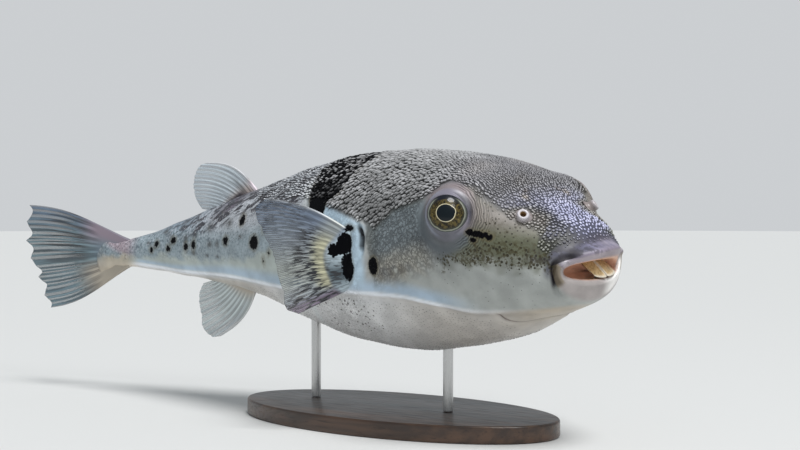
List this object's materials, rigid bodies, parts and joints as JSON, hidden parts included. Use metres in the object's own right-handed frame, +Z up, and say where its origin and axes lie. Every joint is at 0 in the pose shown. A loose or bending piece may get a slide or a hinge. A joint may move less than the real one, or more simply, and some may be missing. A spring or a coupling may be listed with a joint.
{
  "type": "pufferfish",
  "caption": "Life-size model of a swimming pufferfish with a spotted grey back, white belly and prickly snout, held on a plain display stand.",
  "frame": {"origin": "middle of the stand base's underside", "axes": "+X towards the fish's head along its middle, +Y towards its left side, +Z up"},
  "size_m": [0.4809, 0.1636, 0.1636],
  "materials": {
    "skin": "painted skin, grey-brown back and white belly, satin",
    "lips": "pinkish white, satin",
    "teeth": "tan enamel",
    "eyes": "clear gloss over a gold-brown iris",
    "fins": "grey and thin, satin",
    "stand_wood": "dark stain, satin",
    "stand_steel": "satin"
  },
  "bodies": {
    "root": {"head": "skin", "trunk": "skin", "tail_stalk": "skin", "lip_upper": "lips", "lip_lower": "lips", "tooth_upper_left": "teeth", "tooth_upper_right": "teeth", "tooth_lower_left": "teeth", "tooth_lower_right": "teeth", "eye_left": "eyes", "eye_right": "eyes", "nostril_left": "skin", "nostril_right": "skin", "dorsal_fin": "fins", "anal_fin": "fins", "caudal_fin": "fins", "pectoral_fin_left": "fins", "pectoral_fin_right": "fins", "stand_base": "stand_wood", "stand_rod_front": "stand_steel", "stand_rod_rear": "stand_steel"}
  },
  "joints": []
}
